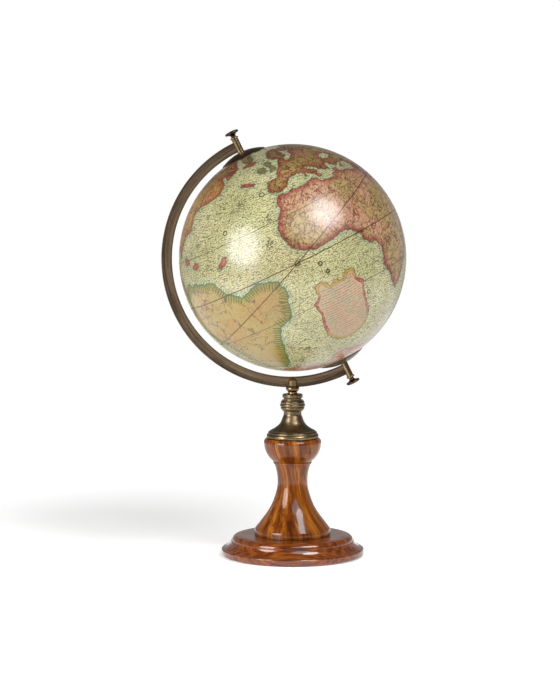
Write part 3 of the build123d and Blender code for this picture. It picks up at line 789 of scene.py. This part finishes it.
def dress_frame():
    """Gives every CAD node its material, apart from the gores, which the map replaces."""
    brass = aged_metal("turned_brass", srgb(92, 78, 58), srgb(152, 132, 102), 0.3, turned=0.5)
    warm_brass = aged_metal("worn_brass", srgb(106, 88, 62), srgb(166, 142, 104), 0.22, turned=0.2)
    bronze = aged_metal("bronzed_brass", srgb(54, 44, 32), srgb(102, 84, 60), 0.3)
    dress(brass, "bell_cap", "grooved_collar", "top_flange")
    dress(warm_brass, "arm_saddle", "arm_screw", "north_pivot_sleeve", "south_pivot_sleeve")
    dress(warm_brass, "north_thrust_washer", "south_thrust_washer")
    dress(warm_brass, "north_pole_bush", "south_pole_bush", "north_bush_nut", "south_bush_nut")
    dress(bronze, "north_pole_cap", "south_pole_cap", "north_pivot_pin", "south_pivot_pin")
    dress(brushed_arm("brushed_bronze", srgb(72, 60, 48), srgb(136, 116, 92)), "meridian_arm")
    column = wood(
        "column_wood",
        along=(1.0, 1.0, 0.02),
        pith=(-0.03, 0.06, 0.0),
        lean=0.16,
        follow=0.7,
        dark=srgb(70, 26, 0),
        middle=srgb(116, 58, 4),
        light=srgb(168, 100, 24),
        coat_roughness=0.12,
        coat_ior=1.42,
    )
    base = wood(
        "base_wood",
        along=(0.1, 1.7, 1.7),
        pith=(0.0, 0.03, -0.05),
        lean=0.0,
        follow=0.0,
        dark=srgb(66, 24, 0),
        middle=srgb(112, 50, 4),
        light=srgb(150, 80, 18),
        coat_roughness=0.11,
        coat_ior=1.6,
    )
    dress(column, "wooden_column")
    dress(base, "wooden_base")
    dress(felt(), "base_felt")
    dress(plated_steel(), "tie_rod", "rod_washer", "rod_nut")
    dress(pasteboard(), "north_hemisphere_shell", "south_hemisphere_shell", "equator_band")


# ---- Studio -------------------------------------------------------------------------------------

CAMERA_AWAY = 2.9
CAMERA_HEIGHT = 0.518
CAMERA_ASIDE = -0.0139
AIM_HEIGHT = 0.2291
SENSOR = 36.0  # mm
LENS = 135.7  # mm
LAMP_AWAY = 1.6  # from the ball's centre
FLOOR_R = 1.15
FLOOR_CORNERS = 96
GLOW_NEAR, GLOW_FAR = 0.4, 0.78  # the floor's own light beside the stand and from GLOW_END outwards
GLOW_START, GLOW_END = 0.25, 1.0
# The room's brightness below and above these heights, as parts of the way up to overhead.
ROOM_LOW, ROOM_LOW_AT = 0.42, 0.1
ROOM_HIGH, ROOM_HIGH_AT = 0.15, 0.38
# The share of it that is left behind the camera, where Y is -1, and where it is whole again.
ROOM_FRONT, ROOM_WHOLE_AT = 0.3, 0.3


def camera():
    """A long lens from a little above the object, aimed near the middle of its height."""
    data = bpy.data.cameras.new("camera")
    data.sensor_fit = "VERTICAL"
    data.sensor_height = SENSOR
    data.lens = LENS
    data.clip_end = 50
    eye = bpy.data.objects.new("camera", data)
    eye.location = (CAMERA_ASIDE, -CAMERA_AWAY, CAMERA_HEIGHT)
    aim = Vector((CAMERA_ASIDE, 0, AIM_HEIGHT))
    eye.rotation_euler = (aim - eye.location).to_track_quat("-Z", "Y").to_euler()
    bpy.context.scene.collection.objects.link(eye)
    bpy.context.scene.camera = eye


def softbox(name, toward, width, height, power, shape="ELLIPSE", lift=0.0):
    """A soft lamp, off in this direction from the ball and facing it, then raised by lift."""
    data = bpy.data.lights.new(name, "AREA")
    data.shape = shape
    data.size = width
    data.size_y = height
    data.energy = power
    lamp = bpy.data.objects.new(name, data)
    toward = Vector(toward).normalized()
    lamp.location = BALL_CENTRE + toward * LAMP_AWAY + Vector((0, 0, lift))
    lamp.rotation_euler = toward.to_track_quat("Z", "Y").to_euler()
    lamp.visible_camera = False
    bpy.context.scene.collection.objects.link(lamp)


def floor():
    """A round pale floor that glows more towards its rim, so that it melts into the white backdrop."""
    mesh = bpy.data.meshes.new("studio_floor")
    angles = [2 * pi * corner / FLOOR_CORNERS for corner in range(FLOOR_CORNERS)]
    corners = [(FLOOR_R * cos(angle), FLOOR_R * sin(angle), 0) for angle in angles]
    mesh.from_pydata(corners, [], [tuple(range(FLOOR_CORNERS))])
    disc = bpy.data.objects.new("studio_floor", mesh)
    t = Tree("studio_floor")
    colour = t.mix(t.noise(3.0), (0.92, 0.92, 0.92, 1), (0.94, 0.94, 0.94, 1))
    away = t.vector("LENGTH", t.coordinates)
    glow = t.between(away, GLOW_START, GLOW_END, GLOW_NEAR, GLOW_FAR)
    mesh.materials.append(
        t.finish(Base_Color=colour, Roughness=0.9, Emission_Color=(1, 1, 1, 1), Emission_Strength=glow)
    )
    bpy.context.scene.collection.objects.link(disc)


def surroundings():
    """A white backdrop for the camera, and a grey room, darker overhead, for everything else."""
    world = bpy.data.worlds.new("studio")
    world.use_nodes = True
    nodes, links = world.node_tree.nodes, world.node_tree.links
    where = nodes.new("ShaderNodeTexCoord")
    parts = nodes.new("ShaderNodeSeparateXYZ")
    ramp = nodes.new("ShaderNodeValToRGB")
    links.new(where.outputs["Generated"], parts.inputs[0])
    links.new(parts.outputs[2], ramp.inputs[0])
    low, high = ramp.color_ramp.elements
    low.position = ROOM_LOW_AT
    low.color = (ROOM_LOW, ROOM_LOW, ROOM_LOW, 1.0)
    high.position = ROOM_HIGH_AT
    high.color = (ROOM_HIGH, ROOM_HIGH, ROOM_HIGH, 1.0)
    # Dimmer on the camera's side, so that the varnish mirrors little of the room.
    front = nodes.new("ShaderNodeMapRange")
    links.new(parts.outputs[1], front.inputs["Value"])
    front.inputs["From Min"].default_value = -1.0
    front.inputs["From Max"].default_value = ROOM_WHOLE_AT
    front.inputs["To Min"].default_value = ROOM_FRONT
    room = nodes.new("ShaderNodeVectorMath")
    room.operation = "MULTIPLY"
    links.new(ramp.outputs[0], room.inputs[0])
    links.new(front.outputs[0], room.inputs[1])
    rays = nodes.new("ShaderNodeLightPath")
    backdrop = nodes.new("ShaderNodeMix")
    backdrop.data_type = "RGBA"
    links.new(rays.outputs["Is Camera Ray"], backdrop.inputs[MIX_FACTOR])
    links.new(room.outputs[0], backdrop.inputs[MIX_FIRST])
    backdrop.inputs[MIX_SECOND].default_value = (1.0, 1.0, 1.0, 1.0)
    links.new(backdrop.outputs[MIX_RESULT], nodes["Background"].inputs["Color"])
    nodes["Background"].inputs["Strength"].default_value = 1.0
    bpy.context.scene.world = world


def studio():
    """Two keys for the ball's two highlights, a dim fill beside the right one, a strip for the wood."""
    camera()
    floor()
    surroundings()
    softbox("key_right", toward=(0.471, -0.5, 0.7), width=0.78, height=0.78, power=17.0)
    softbox("key_left", toward=(-0.753, -0.63, 0.21), width=0.92, height=0.98, power=20.5)
    softbox("fill_right", toward=(0.28, -0.77, 0.57), width=1.1, height=0.9, power=8.0)
    softbox(
        "strip_left",
        toward=(-0.62, -0.78, 0.0),
        width=0.12,
        height=1.3,
        power=2.5,
        shape="RECTANGLE",
        lift=-0.2,
    )
    bpy.context.scene.view_settings.view_transform = "Standard"


build_map(map_material())
dress_frame()
studio()
